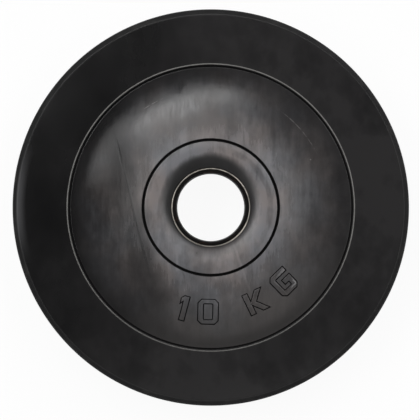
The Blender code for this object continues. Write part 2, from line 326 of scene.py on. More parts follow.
view = {
    "focal": 1608,  # in the photo's pixels
    "imageSize": 420,
    "sensor": 36,  # mm
    "aboveHub": 1.2,
    "plateCentre": (0.8, -2.5),  # pixels right of and below the photo's middle
}


def makeCamera():
    data = bpy.data.cameras.new("camera")
    data.sensor_width = view["sensor"]
    data.lens = view["focal"] / view["imageSize"] * view["sensor"]
    camera = bpy.data.objects.new("camera", data)
    pixel = view["aboveHub"] / view["focal"]
    right, below = view["plateCentre"]
    camera.location = (-right * pixel, below * pixel, solidBounds[1].z + view["aboveHub"])
    bpy.context.scene.collection.objects.link(camera)
    bpy.context.scene.camera = camera


# each softbox: tilt from straight up and bearing from +X in degrees, width and depth in metres
softboxes = {
    "topBox": {"tilt": 16.8, "bearing": 116, "width": 0.58, "depth": 0.21, "brightness": 7.2},
    "topRightBox": {"tilt": 15.6, "bearing": 87, "width": 0.38, "depth": 0.20, "brightness": 4.2},
    "topLeftBox": {"tilt": 14.0, "bearing": 149, "width": 0.42, "depth": 0.24, "brightness": 2.2},
    "leftBox": {"tilt": 31, "bearing": 170, "width": 1.6, "depth": 0.80, "brightness": 3.8},
    "rightBox": {"tilt": 27, "bearing": 10, "width": 1.7, "depth": 0.65, "brightness": 3.2},
    "bottomBox": {"tilt": 15, "bearing": 285, "width": 1.2, "depth": 0.50, "brightness": 0.3},
    "backLeftBox": {"tilt": 38, "bearing": 128, "width": 1.8, "depth": 1.2, "brightness": 3.8},
    "backRightBox": {"tilt": 46, "bearing": 50, "width": 2.0, "depth": 1.4, "brightness": 2.2},
}
boxesAway = 3.0  # metres from the hub
wattsForOne = 4  # an area light of this power per square metre has a brightness of 1


def makeSoftboxes():
    centre = Vector((0, 0, solidBounds[1].z))
    for name, box in softboxes.items():
        data = bpy.data.lights.new(name, "AREA")
        data.shape = "RECTANGLE"
        data.size = box["width"]
        data.size_y = box["depth"]
        data.energy = wattsForOne * box["brightness"] * box["width"] * box["depth"]
        turn = Matrix.Rotation(radians(box["bearing"] + 90), 4, "Z")
        turn = turn @ Matrix.Rotation(radians(box["tilt"]), 4, "X")
        lamp = bpy.data.objects.new(name, data)
        lamp.matrix_world = Matrix.Translation(centre) @ turn @ Matrix.Translation((0, 0, boxesAway))
        bpy.context.scene.collection.objects.link(lamp)


# the room is the same for every kind of ray: white low down, then grey walls, and a dark ceiling
world = {
    "white": 0.92,
    "whiteEnd": 0.08,
    "walls": 0.32,
    "wallStart": 0.26,
    "ceiling": 0.03,
    "ceilingStart": 0.93,
    "ceilingFull": 0.985,
}


def makeWorld():
    made = bpy.data.worlds.new("studio")
    made.use_nodes = True
    tree = made.node_tree
    direction = addNode(tree, "ShaderNodeTexCoord").outputs["Generated"]
    height = addNode(tree, "ShaderNodeSeparateXYZ", {0: direction}).outputs["Z"]
    low = ramp(tree, height, world["whiteEnd"], world["wallStart"], world["white"], world["walls"])
    high = ramp(tree, height, world["ceilingStart"], world["ceilingFull"])
    level = mixValue(tree, high, low, world["ceiling"])
    background = tree.nodes["Background"]
    background.inputs["Color"].default_value = (1, 1, 1, 1)
    tree.links.new(level, background.inputs["Strength"])
    bpy.context.scene.world = made


floor = {
    "radius": 9.0,
    "sides": 96,
    "drop": 0.0002,
    "colour": (0.80, 0.80, 0.80),
    "roughness": 0.9,
    "specular": 0.0,
    "whiteShare": 0.93,  # how much of what is seen of it is plain white
}


def makeFloor():
    shape = bmesh.new()
    bmesh.ops.create_circle(shape, cap_ends=True, radius=floor["radius"], segments=floor["sides"])
    bmesh.ops.translate(shape, verts=shape.verts, vec=(0, 0, -floor["drop"]))
    finish, tree, shader = newFinish("paleFloor")[:3]
    dress(tree, shader, (*floor["colour"], 1), floor["roughness"], floor["specular"])
    white = addNode(tree, "ShaderNodeEmission", {"Color": (1, 1, 1, 1), "Strength": 1.0})
    rays = addNode(tree, "ShaderNodeLightPath").outputs
    seen = calc(tree, "MAXIMUM", rays["Is Camera Ray"], rays["Is Transmission Ray"])
    seen = calc(tree, "MAXIMUM", seen, rays["Is Glossy Ray"])
    share = times(tree, seen, floor["whiteShare"])
    mixed = addNode(tree, "ShaderNodeMixShader", {0: share, 1: shader.outputs[0], 2: white.outputs[0]})
    tree.links.new(mixed.outputs[0], tree.nodes["Material Output"].inputs["Surface"])
    newPiece("floor", shape, [finish])


scene = bpy.context.scene
scene.view_settings.view_transform = "Standard"
makeCamera()
makeSoftboxes()
makeWorld()
makeFloor()
print("camera and studio made")


# Plate: sizes that more than one piece shares

plate = {
    "outerRadius": 0.150,
    "wall": 0.004,
    "sideDraft": 0.0010,  # the side leans in by this much from the seam to either face
    "edgeRounding": 0.004,
    "landInner": 0.0425,
    "landOuter": 0.0465,
    "dishFoot": 0.100,
    "dishFall": 0.0055,
    "dishCurve": 1.5,
    "boreRadius": 0.0260,
    "sleeveWall": 0.0025,
    "funnelDepth": 0.0055,
    "fit": 0.0003,
    "roundSteps": 288,
}
middle = solidBounds[1].z / 2
rimRadius = plate["outerRadius"] - plate["sideDraft"]
fallRadius = rimRadius - plate["edgeRounding"]
sleeveRadius = plate["boreRadius"] + plate["sleeveWall"]
lipRadius = sleeveRadius + plate["fit"]
lipHeight = middle - plate["funnelDepth"]
marginHeight = middle - plate["dishFall"]
upright = Matrix.Translation((0, 0, middle))
upsideDown = Matrix.Rotation(pi, 4, "X")
turnedOver = upright @ upsideDown


def dishShare(radius):
    share = (plate["dishFoot"] - radius) / (plate["dishFoot"] - plate["landOuter"])
    return min(max(share, 0), 1)


def faceHeight(radius):
    return marginHeight + plate["dishFall"] * dishShare(radius) ** plate["dishCurve"]


def faceTilt(radius):
    slope = plate["dishFall"] * plate["dishCurve"] * dishShare(radius) ** (plate["dishCurve"] - 1)
    return atan(slope / (plate["dishFoot"] - plate["landOuter"]))


def spread(start, end, parts):
    return [start + (end - start) * i / parts for i in range(parts + 1)]


# Shells: one outline for both, with a tongue on the front one and a groove in the rear one

shells = {
    "crestRadius": 0.0445,
    "lipBead": 0.00035,
    "grooveRadius": 0.0506,
    "grooveWidth": 0.0020,
    "grooveDepth": 0.0020,
    "grooveDraft": 0.00015,
    "grooveEdge": 0.00025,
    "grooveFloor": 0.0006,
    "shadeDepth": 0.0002,  # painted shade lies this deep and deeper in the groove and the crease
    "shadeLimit": 0.9,  # but no deeper than this share of the wall
    "shadeFinish": 1,  # of shellFinishes
    "sideFinish": 2,
    "creaseRadius": 0.1059,  # a fine sunk line at the foot of the step
    "creaseWidth": 0.0014,
    "creaseDepth": 0.0009,
    "stepTopRadius": 0.1073,
    "stepHeight": 0.0010,
    "stepEdge": 0.0004,
    "ringFall": 0.0003,
    "supportWidth": 0.0005,  # narrow flats beside the fillets keep the wide flats' shading flat
    "seamEdge": 0.0005,
    "tongueWidth": 0.0014,
    "tongueHeight": 0.0020,
    "spigotWall": 0.0030,
    "spigotLength": 0.010,
    # how many straight parts each curve of the outline has
    "beadParts": 6,
    "funnelParts": 20,
    "crownParts": 8,
    "dishParts": 26,
    "edgeParts": 16,
    "innerEdgeParts": 5,
    "innerDishParts": 8,
    "rootParts": 6,
}
ringTop = marginHeight + shells["stepHeight"]
ringEdge = ringTop - shells["ringFall"]


def crestOutline():
    # the funnel and the crowned hub, from the lip of the hole out to the groove
    crest = shells["crestRadius"]
    bead = shells["lipBead"]
    funnelStart = lipRadius + 2 * bead
    points = arc((lipRadius + bead, lipHeight), (bead, bead), 180, 30, shells["beadParts"])
    funnelSize = (crest - funnelStart, plate["funnelDepth"])
    funnel = arc((crest, lipHeight), funnelSize, 180, 90, shells["funnelParts"])
    points += [point for point in funnel if point[0] > points[-1][0] + bead / 4]
    grooveStart = shells["grooveRadius"] - shells["grooveWidth"] / 2
    fall = middle - faceHeight(grooveStart)
    for radius in spread(crest, grooveStart, shells["crownParts"])[1:-1]:
        points.append((radius, middle - fall * ((radius - crest) / (grooveStart - crest)) ** 2))
    return points


def grooveOutline():
    start = shells["grooveRadius"] - shells["grooveWidth"] / 2
    end = shells["grooveRadius"] + shells["grooveWidth"] / 2
    bottom = faceHeight(shells["grooveRadius"]) - shells["grooveDepth"]
    edge = shells["grooveEdge"]
    floorEdge = shells["grooveFloor"]
    draft = shells["grooveDraft"]
    corners = [
        (start - 3 * edge, faceHeight(start - 3 * edge), 0),
        (start, faceHeight(start), edge),
        (start + draft, bottom, floorEdge),
        (end - draft, bottom, floorEdge),
        (end, faceHeight(end), edge),
        (end + 3 * edge, faceHeight(end + 3 * edge), 0),
    ]
    return rounded(corners)[1:]


def stepOutline():
    # the margin's end, the crease, the step up to the ring, and the ring's rounded outer edge
    crease = shells["creaseRadius"]
    half = shells["creaseWidth"] / 2
    rounding = plate["edgeRounding"]
    support = shells["supportWidth"]
    corners = [
        (plate["dishFoot"], marginHeight, 0),
        (crease - half - support, marginHeight, 0),
        (crease - half, marginHeight, half / 2),
        (crease, marginHeight - shells["creaseDepth"], half / 4),
        (crease + half, marginHeight, half / 4),
        (shells["stepTopRadius"], ringTop, shells["stepEdge"]),
        (shells["stepTopRadius"] + 2 * support, ringTop, 0),
        (fallRadius - support, ringEdge, 0),
        (fallRadius, ringEdge, 0),
    ]
    points = rounded(corners)[1:-1]
    points += arc((fallRadius, ringEdge - rounding), (rounding, rounding), 90, 0, shells["edgeParts"])
    return points


def outerOutline():
    dishStart = shells["grooveRadius"] + shells["grooveWidth"] / 2 + 4 * shells["grooveEdge"]
    radii = spread(dishStart, plate["dishFoot"], shells["dishParts"])
    dish = [(radius, faceHeight(radius)) for radius in radii]
    return crestOutline() + grooveOutline() + dish[1:] + stepOutline()


def seamOutline(extraWidth, depth):
    # the face where the shells meet, from the outside in; a negative depth makes the tongue a groove
    seam = plate["outerRadius"] - plate["wall"] / 2
    half = shells["tongueWidth"] / 2 + extraWidth
    level = plate["fit"] / 2
    halfwayUp = (ringEdge - plate["edgeRounding"] + level) / 2
    corners = [
        ((rimRadius + plate["outerRadius"]) / 2, halfwayUp, 0),
        (plate["outerRadius"], level, shells["seamEdge"]),
        (seam + half, level, 0),
        (seam + half, -depth, 0),
        (seam - half, -depth, 0),
        (seam - half, level, 0),
        (plate["outerRadius"] - plate["wall"], level, 0),
    ]
    return rounded(corners)


def innerOutline():
    top = ringEdge - plate["wall"]
    rounding = max(plate["edgeRounding"] - plate["wall"], plate["wall"] / 2)
    corner = (rimRadius - plate["wall"] - rounding, top - rounding)
    points = arc(corner, (rounding, rounding), 0, 90, shells["innerEdgeParts"])
    radii = spread(plate["dishFoot"], plate["landOuter"], shells["innerDishParts"])
    points += [(radius, faceHeight(radius) - plate["wall"]) for radius in radii]
    spigot = lipRadius + shells["spigotWall"]
    rootSize = (plate["landInner"] - spigot, plate["funnelDepth"] - plate["wall"])
    points += arc((plate["landInner"], lipHeight), rootSize, 90, 180, shells["rootParts"])
    end = lipHeight - shells["spigotLength"]
    return points + [(spigot, end), (lipRadius, end)]


def makeShell(name, extraWidth, depth):
    outline = outerOutline() + seamOutline(extraWidth, depth) + innerOutline()
    shape = spinOutline(outline, plate["roundSteps"])
    for face in shape.faces:
        centre = face.calc_center_median()
        radius = Vector((centre.x, centre.y)).length
        inGroove = abs(radius - shells["grooveRadius"]) < shells["grooveWidth"] / 2
        inCrease = abs(radius - shells["creaseRadius"]) < shells["creaseWidth"] / 2
        below = faceHeight(radius) - centre.z
        # faces deep in the groove and the crease get the painted shade
        if (inGroove or inCrease) and shells["shadeDepth"] < below < plate["wall"] * shells["shadeLimit"]:
            face.material_index = shells["shadeFinish"]
        if radius > fallRadius:
            face.material_index = shells["sideFinish"]
    return newPiece(name, shape, shellFinishes)


ribs = {"count": 8, "thickness": 0.003, "depth": 0.007, "start": 0.056, "end": 0.094}


def makeRibs():
    # the ribs inside a shell that key the core
    sunk = plate["wall"] / 2
    ends = [(ribs["start"], faceHeight(ribs["start"]) - sunk), (ribs["end"], faceHeight(ribs["end"]) - sunk)]
    height = sunk + ribs["depth"]
    outline = [ends[0], (ends[0][0], ends[0][1] - height), (ends[1][0], ends[1][1] - height), ends[1]]
    made = []
    for i in range(ribs["count"]):
        rib = prism([outline], -ribs["thickness"] / 2, ribs["thickness"] / 2)
        bearing = 2 * pi * (i + 0.5) / ribs["count"]
        turn = Matrix.Rotation(bearing, 4, "Z") @ Matrix.Rotation(pi / 2, 4, "X")
        bmesh.ops.transform(rib, matrix=turn, verts=rib.verts)
        made.append(rib)
    return made


# Weight mark: plain block signs, raised in a fine sunk outline

mark = {
    "circle": 0.0781,
    "height": 0.0184,
    "width": 0.0150,
    "stroke": 0.0038,
    "zeroEndStroke": 0.0030,
    "corner": 0.0026,
    "leastCorner": 0.0006,
    "flag": 0.0020,
    "kayHeight": 0.0164,
    "armWidth": 0.0049,
    "armRoot": 0.0010,
    "relief": 0.0008,
    "root": 0.0022,
    "draft": 0.00035,
    "bevel": 0.00015,
    "moatWidth": 0.00060,
    "moatDepth": 0.0006,
    "bearings": {"one": -14.7, "zero": -1.5, "kay": 25.6, "gee": 44.2},
}


def blockLoop(inset=0.0, insetTop=None):
    # an upright rectangle with cut corners, run anticlockwise
    right = mark["width"] / 2 - inset
    top = mark["height"] / 2 - (inset if insetTop is None else insetTop)
    cut = max(mark["corner"] - inset * (2 - sqrt(2)), mark["leastCorner"])
    upper = [(right, top - cut), (right - cut, top), (cut - right, top), (-right, top - cut)]
    return upper + [(-x, -y) for x, y in upper]


def oneLoops():
    edge = mark["stroke"] / 2
    top = mark["height"] / 2
    flagEdge = -edge - mark["flag"]
    flagTop = top - mark["flag"]
    return [
        [
            (edge, -top),
            (edge, top),
            (-edge, top),
            (flagEdge, flagTop),
            (flagEdge, flagTop - mark["stroke"]),
            (-edge, top - mark["stroke"]),
            (-edge, -top),
        ]
    ]


def zeroLoops():
    return [blockLoop(), blockLoop(mark["stroke"], mark["zeroEndStroke"])]


def kayLoops():
    right = mark["width"] / 2
    top = mark["kayHeight"] / 2
    stem = mark["stroke"] - right
    arm = right - mark["armWidth"]
    run = (arm - stem) / (top - mark["armRoot"])
    notch = (right - top * run, 0)
    upper = [(right, top), (arm, top), (stem, mark["armRoot"]), (stem, top), (-right, top)]
    return [[notch, *upper, *[(x, -y) for x, y in reversed(upper)]]]


def geeLoops():
    # the cut-cornered block, open at its upper right, with a bar that runs in from its right side
    right = mark["width"] / 2
    top = mark["height"] / 2
    outer = blockLoop()[1:]
    inner = blockLoop(mark["stroke"])[1:]
    barTop = mark["stroke"] / 2
    bar = [(right, barTop), (0, barTop), (0, -barTop), (right - mark["stroke"], -barTop)]
    return [[(right, top), *outer[1:], *bar, *reversed(inner[1:]), (right, top - mark["stroke"])]]


def seatOfSign(bearing):
    # where a sign stands on the dish, tilted square to it, with its top towards the hole
    tilt = Matrix.Rotation(faceTilt(mark["circle"]), 4, "X")
    seat = Matrix.Translation((0, -mark["circle"], faceHeight(mark["circle"])))
    return Matrix.Rotation(radians(bearing), 4, "Z") @ seat @ tilt


def grownLoops(loops, margin):
    # the outer loop grows and an inner one shrinks
    return [grown(loop, margin if i == 0 else -margin) for i, loop in enumerate(loops)]


def makeSigns(margin, bottom, top, draft=0.0, bevel=0.0):
    loopsOf = {"one": oneLoops(), "zero": zeroLoops(), "kay": kayLoops(), "gee": geeLoops()}
    made = []
    for sign, loops in loopsOf.items():
        shape = prism(grownLoops(loops, margin), bottom, top, draft, bevel)
        bmesh.ops.transform(shape, matrix=seatOfSign(mark["bearings"][sign]), verts=shape.verts)
        made.append(shape)
    return made


def makeFrontShell():
    piece = makeShell("frontShell", 0, shells["tongueHeight"])
    moats = makeSigns(mark["moatWidth"], -mark["moatDepth"], mark["relief"])
    # the sunk outlines round the signs get the painted shade
    combine(piece, newPiece("moats", joined(moats)), "DIFFERENCE", shells["shadeFinish"])
    signs = makeSigns(0, -mark["root"], mark["relief"], mark["draft"], mark["bevel"])
    combine(piece, newPiece("signs", joined(signs)), "UNION")
    combine(piece, newPiece("frontRibs", joined(makeRibs())), "UNION")
    piece.data.transform(upright)
    return piece


# Plugs: they close the filling hole and the vent in the rear shell

plugs = {
    "circle": 0.074,
    "sink": 0.0003,
    "headThickness": 0.0012,
    "headOverhang": 0.0025,
    "headEdge": 0.0004,
    "edgeParts": 3,
    "dimple": 0.0003,
    "dimpleShares": (0.45, 0.55),  # of the head's radius, where the dimple's side starts and ends
    "barb": 0.0006,
    "barbLength": 0.0024,
    "steps": 72,
    # each plug's solid, the radius of its hole and its bearing
    "kinds": {"fillPlug": ("fill_plug", 0.0085, 0), "ventPlug": ("vent_plug", 0.0040, pi)},
}


def seatOfPlug(bearing):
    tilt = Matrix.Rotation(faceTilt(plugs["circle"]), 4, "Y")
    seat = Matrix.Translation((plugs["circle"], 0, faceHeight(plugs["circle"])))
    return Matrix.Rotation(bearing, 4, "Z") @ seat @ tilt


def makePlug(name, holeRadius, bearing, finish):
    stem = holeRadius - plate["fit"]
    head = holeRadius + plugs["headOverhang"]
    top = -plugs["sink"]
    under = top - plugs["headThickness"]
    shoulder = -plate["wall"] - plate["fit"]
    tip = shoulder - plugs["barbLength"]
    edge = plugs["headEdge"]
    dimpleStart, dimpleEnd = plugs["dimpleShares"]
    corners = [
        (0, top - plugs["dimple"], 0),
        (head * dimpleStart, top - plugs["dimple"], edge),
        (head * dimpleEnd, top, edge),
        (head, top, edge),
        (head, under, 0),
        (stem, under, edge / 2),
        (stem, shoulder, 0),
        (holeRadius + plugs["barb"], shoulder, edge / 4),
        (stem, tip, edge),
        (0, tip, 0),
    ]
    shape = spinOutline(rounded(corners, plugs["edgeParts"]), plugs["steps"], closed=False)
    piece = newPiece(name, shape, [finish])
    piece.data.transform(turnedOver @ seatOfPlug(bearing))
    return piece


def makeRearShell():
    piece = makeShell("rearShell", plate["fit"], -shells["tongueHeight"] - plate["fit"])
    for name, (node, holeRadius, bearing) in plugs["kinds"].items():
        head = holeRadius + plugs["headOverhang"] + plate["fit"]
        seat = -plugs["sink"] - plugs["headThickness"] - plate["fit"]
        top = plate["wall"]
        bottom = -2 * plate["wall"]
        outline = [(0, top), (head, top), (head, seat), (holeRadius, seat), (holeRadius, bottom), (0, bottom)]
        cutter = spinOutline(outline, plugs["steps"], closed=False)
        bmesh.ops.transform(cutter, matrix=seatOfPlug(bearing), verts=cutter.verts)
        combine(piece, newPiece(f"{name}Seat", cutter), "DIFFERENCE")
    combine(piece, newPiece("rearRibs", joined(makeRibs())), "UNION")
    piece.data.transform(turnedOver)
    return piece


# Sleeve: the black steel tube that lines the hole, with a collar that the core grips

sleeve = {
    "recess": 0.0008,
    "edge": 0.0004,
    "collarRadius": 0.037,
    "collarThickness": 0.004,
    "collarSides": 8,
    "collarHoleSides": 96,
}


def makeSleeve(finish):
    end = lipHeight - sleeve["recess"]
    corners = [
        (plate["boreRadius"], end, sleeve["edge"]),
        (sleeveRadius, end, sleeve["edge"]),
        (sleeveRadius, -end, sleeve["edge"]),
        (plate["boreRadius"], -end, sleeve["edge"]),
    ]
    piece = newPiece("boreSleeve", spinOutline(rounded(corners), plate["roundSteps"]), [finish])
    wallMiddle = sleeveRadius - plate["sleeveWall"] / 2
    outer = arc((0, 0), (sleeve["collarRadius"],) * 2, 0, 360, sleeve["collarSides"])[:-1]
    inner = arc((0, 0), (wallMiddle,) * 2, 0, 360, sleeve["collarHoleSides"])[:-1]
    half = sleeve["collarThickness"] / 2
    collar = prism([outer], -half, half)
    hole = prism([inner], -2 * half, 2 * half)
    tool = newPiece("collar", collar)
    combine(tool, newPiece("collarHole", hole), "DIFFERENCE")
    combine(piece, tool, "UNION")
    piece.data.transform(upright)
    return piece


# Shell plastic: near black, with a grey bloom on the hub and dish, pale lines, scuffs, worn edges with
# painted highlights, and painted light and shade across its faces

plastic = {
    "black": (0.0052, 0.0052, 0.0054),
    # the dust's colour, which also paints light on the side the light comes from
    "dustAndLight": (0.0215, 0.0208, 0.0212),
    # painted light on the step's wall at the bottom
    "litStepWall": (0.040, 0.038, 0.037),
    "litStepWallShare": 0.6,
    "coolBloom": (0.130, 0.130, 0.139),
    "warmBloom": (0.152, 0.134, 0.130),
    "bloomReach": 0.110,
    "bloomCentre": (-0.0006, 0.0018, 0),
    # how strong the bloom is at each distance in metres from its centre
    "bloomStops": {
        0.030: 0.30,
        0.036: 0.63,
        0.0400: 1.0,
        0.049: 0.92,
        0.054: 0.85,
        0.060: 0.54,
        0.076: 0.22,
        0.104: 0.0,
    },
    # painted shade: the funnel is kept dark round a centre a little above the hole's, so its upper side is
    # darkest
    "funnelShadeCentre": (-0.0008, 0.0050, 0),
    "funnelShadeRadius": 0.0312,
    "funnelLitRadius": 0.0378,
    "lightFromSide": (0.96, -0.28, 0),  # painted light: the bloom and the dust are made lighter this way
    # painted light on the hub is made stronger towards this side
    "hubLightFromSide": (0.95, 0.31, 0),
    "litStepWallSide": (0.34, -0.94, 0),
    "dullLipSide": (-0.34, -0.94, 0),
    "upperLeftSide": (-0.77, 0.64, 0),
    # each band below is a half width and how far it fades beyond that
    "grooveFade": 0.0003,
    "hubFade": 0.003,
    "crestMarks": (
        {
            "side": "hubLightFromSide",
            "reach": (0.015, 0.042),  # towards that side
            "offset": 0.0,  # outwards from the crest
            "band": (0.0010, 0.0022),
            "change": -0.38,
        },
        {
            "side": "upperLeftSide",
            "reach": (0.020, 0.042),
            "offset": -0.0015,
            "band": (0.0025, 0.0035),
            "change": 0.42,
        },
    ),
    # nearly upright lines, with their place across X and how they change the bloom
    # the sunk line is a shallow bumped groove, and its darkening is painted shade
    "sunkLine": {"slope": 0.24, "across": -0.0565, "middleY": 0.002, "halfLength": 0.062, "change": -0.55},
    "paleLines": (
        {"slope": 0.345, "across": 0.0069, "middleY": -0.044, "halfLength": 0.024, "change": 0.30},
        {"slope": 0, "across": 0.0027, "middleY": 0.0456, "halfLength": 0.006, "change": 0.45},
        {"slope": 0, "across": -0.0254, "middleY": -0.038, "halfLength": 0.012, "change": 0.25},
    ),
    "lineBand": (0.0003, 0.0010),
    "lineWander": 0.004,
    "lineDepth": 0.00003,
    # painted shade in a band to the left of the sunk line
    "lineShade": {"offset": -0.002, "band": (0.003, 0.013), "change": -0.60},
    # the step's and the lip's worn edges, lightened further as painted highlights
    "stepWearAndHighlight": (0.135, 0.132, 0.125),
    "lipWearAndHighlight": (0.55, 0.51, 0.45),
    "stepOffset": 0.00035,
    "stepBand": (0.00036, 0.00012),
    "lipOffset": 0.00030,
    "lipBand": (0.00030, 0.00016),
    "scuff": (0.105, 0.10, 0.098),
    "scratchRadius": 0.0892,
    "scratchBand": (0.00015, 0.00015),
    "scratchBearings": ((40, 14), (119, 6)),  # middle and half length of each stretch, in degrees
    "speck": (0.0747, 0.0359, 0),
    "rimScuff": (0.016, 0.0155, 0.0152),
    "rimBlackening": 0.7,
    # a painted highlight on the rim's left
    "rimLeftHighlight": (0.050, 0.050, 0.052),
    "highlightRadius": 0.1446,
    "highlightInwards": 0.0065,
    "highlightOutwards": (0.0004, 0.0018),
    "highlightMiddleY": 0.004,
    "highlightBandY": (0.006, 0.042),
    "specular": 0.35,
    "edgeSpecular": 0.15,
    "rimRoughening": 0.22,
    "edgeRoughening": 0.32,
    "edgeFade": 0.0006,
    "edgeHeights": (-0.007, 0.002),  # from where the rounding meets the side
    "wearRoughening": 0.3,
    # noise settings
    "textures": {
        "patches": (26, 4, (1, 0.6, 1)),
        "mottle": (240, 3, (1, 1, 1), (0, 0, 0), 0.6),
        "streaks": (1, 4, (420, 14, 14)),
        "wideStreaks": (1, 2, (70, 7, 7), (3.1, 0, 0)),
        "grain": (1500, 2),
        "brushing": (1, 3, (620, 95, 95), (0.7, 0, 2.2), 0.6),
        "clouds": (90, 4, (1, 0.7, 1), (4.2, 1.3, 0), 0.6),
        "tint": (32, 3, (1, 1, 1), (7.3, 2.1, 0)),
        "dust": (14, 4, (1, 1, 1), (1.7, 4.4, 0)),
        "haze": (24, 4, (1, 0.7, 1), (9.1, 2.4, 0)),
        "smears": (1, 4, (150, 60, 60), (0, 5.2, 0), 0.6),
        "rimMarks": (70, 5, (1, 1, 4), (0, 0, 0), 0.55),
    },
    # soft steps: from, to, and the value at either end
    "ramps": {
        "dish": (0.092, 0.106, 1.0, 0.0),
        "rim": (0.1435, 0.1458),
        "dishLitSide": (-0.045, 0.045, 0.88, 1.22),
        "hubLitSide": (-0.045, 0.045, 0.78, 1.36),
        "tint": (0.35, 0.65),
        "dust": (0.36, 0.64, 0.55, 1.12),
        "blackLitSide": (-0.140, 0.090, 0.12, 1.05),
        "dustClouds": (0.34, 0.66, 0.80, 1.20),
        "haze": (0.34, 0.74, -0.03, 0.24),
        "litStepWallReach": (0.045, 0.095),
        "rimMarks": (0.50, 0.72),
        "highlightX": (-0.02, 0.0, 1.0, 0.0),
        "scratch": (0.35, 0.6),
        "speck": (0.0003, 0.0007, 1.0, 0.0),
        "step": (0.25, 0.65, 0.75, 1.0),
        "stepHighlightY": (-0.100, 0.010, 0.60, 1.0),
        "lip": (0.32, 0.62, 0.45, 1.0),
        "lipLean": (0.0200, 0.0275, 1.0, 0.45),
        "roughness": (0.046, 0.088, 0.34, 0.10),  # from the hub out to the ring
        "patchRoughness": (0.3, 0.7, -0.02, 0.02),
    },
    # texture steps that multiply the bloom, and that add to the roughness of the dish and hub
    "bloomSteps": {
        "patches": (0.30, 0.70, 0.75, 1.2),
        "clouds": (0.34, 0.66, 0.86, 1.14),
        "brushing": (0.30, 0.70, 0.93, 1.07),
        "streaks": (0.30, 0.72, 0.93, 1.08),
        "wideStreaks": (0.35, 0.68, 0.92, 1.08),
        "smears": (0.32, 0.68, 0.80, 1.20),
    },
    "roughnessSteps": {
        "streaks": (0.3, 0.7, -0.015, 0.02),
        "brushing": (0.3, 0.7, -0.03, 0.03),
        "clouds": (0.34, 0.66, -0.02, 0.02),
    },
    # how high each texture stands, everywhere, and on the dish and hub
    "bumps": {"grain": 0.000012, "mottle": 0.000015},
    "dishBumps": {"streaks": 0.000003, "brushing": 0.000005, "wideStreaks": 0.000008},
}


def placeOnPlate(tree, place):
    # where a point lies; makePlastic adds the textures there
    parts = addNode(tree, "ShaderNodeSeparateXYZ", {0: place}).outputs
    flat = addNode(tree, "ShaderNodeCombineXYZ", {"X": parts["X"], "Y": parts["Y"]}).outputs[0]
    return {
        "x": parts["X"],
        "y": parts["Y"],
        "flat": flat,
        "radius": vectorCalc(tree, "LENGTH", flat),
        "towardsLight": along(tree, flat, plastic["lightFromSide"]),
        "fromMiddle": calc(tree, "ABSOLUTE", calc(tree, "SUBTRACT", parts["Z"], middle)),
    }


def plasticRamp(tree, name, value):
    return ramp(tree, value, *plastic["ramps"][name])


def acrossLine(tree, at, line):
    # how far a point lies across a line, which wanders a little
    size = sqrt(1 + line["slope"] ** 2)
    across = calc(tree, "MULTIPLY_ADD", at["y"], line["slope"] / size, calc(tree, "DIVIDE", at["x"], size))
    return calc(tree, "ADD", across, at["wander"])


def lineMark(tree, at, line):
    thin = band(tree, acrossLine(tree, at, line), line["across"], *plastic["lineBand"])
    return times(tree, thin, softStretch(tree, at["y"], line["middleY"], line["halfLength"]))


def bloomAndLightOf(tree, at):
    # how strong the grey bloom is, with painted light and shade worked into it
    reach = vectorCalc(tree, "DISTANCE", at["flat"], plastic["bloomCentre"])
    reach = calc(tree, "DIVIDE", reach, plastic["bloomReach"], clamp=True)
    stops = {distance / plastic["bloomReach"]: level for distance, level in plastic["bloomStops"].items()}
    # painted shade on the funnel, darkest on its upper side
    fromFunnelShade = vectorCalc(tree, "DISTANCE", at["flat"], plastic["funnelShadeCentre"])
    outOfFunnelShade = ramp(tree, fromFunnelShade, plastic["funnelShadeRadius"], plastic["funnelLitRadius"])
    groove = shells["grooveRadius"]
    inGroove = band(tree, at["radius"], groove, shells["grooveWidth"] / 2, plastic["grooveFade"])
    bloomAndLight = times(tree, curve(tree, reach, stops), outOfFunnelShade, calc(tree, "SUBTRACT", 1, inGroove))
    # painted light: it is made stronger on one side of the dish, and on another of the hub
    onHub = ramp(tree, at["radius"], groove - plastic["hubFade"], groove + plastic["hubFade"], 1.0, 0.0)
    dishLitSide = plasticRamp(tree, "dishLitSide", at["towardsLight"])
    hubLitSide = plasticRamp(tree, "hubLitSide", along(tree, at["flat"], plastic["hubLightFromSide"]))
    bloomAndLight = times(tree, bloomAndLight, mixValue(tree, onHub, dishLitSide, hubLitSide))
    # the crest is darker towards the hub's lit side, and lighter at the upper left
    for crest in plastic["crestMarks"]:
        onCrest = band(tree, at["radius"], shells["crestRadius"] + crest["offset"], *crest["band"])
        onSide = ramp(tree, along(tree, at["flat"], plastic[crest["side"]]), *crest["reach"])
        bloomAndLight = scaled(tree, bloomAndLight, times(tree, onCrest, onSide), crest["change"])
    for name, step in plastic["bloomSteps"].items():
        bloomAndLight = times(tree, bloomAndLight, ramp(tree, at[name], *step))
    for line in (plastic["sunkLine"], *plastic["paleLines"]):
        bloomAndLight = scaled(tree, bloomAndLight, lineMark(tree, at, line), line["change"])
    # painted shade: it is darker in a band along the left of the sunk line
    paintedLighting = plastic["lineShade"]
    sunk = plastic["sunkLine"]
    shadedBand = band(tree, acrossLine(tree, at, sunk), sunk["across"] + paintedLighting["offset"], *paintedLighting["band"])
    return scaled(tree, bloomAndLight, shadedBand, paintedLighting["change"])


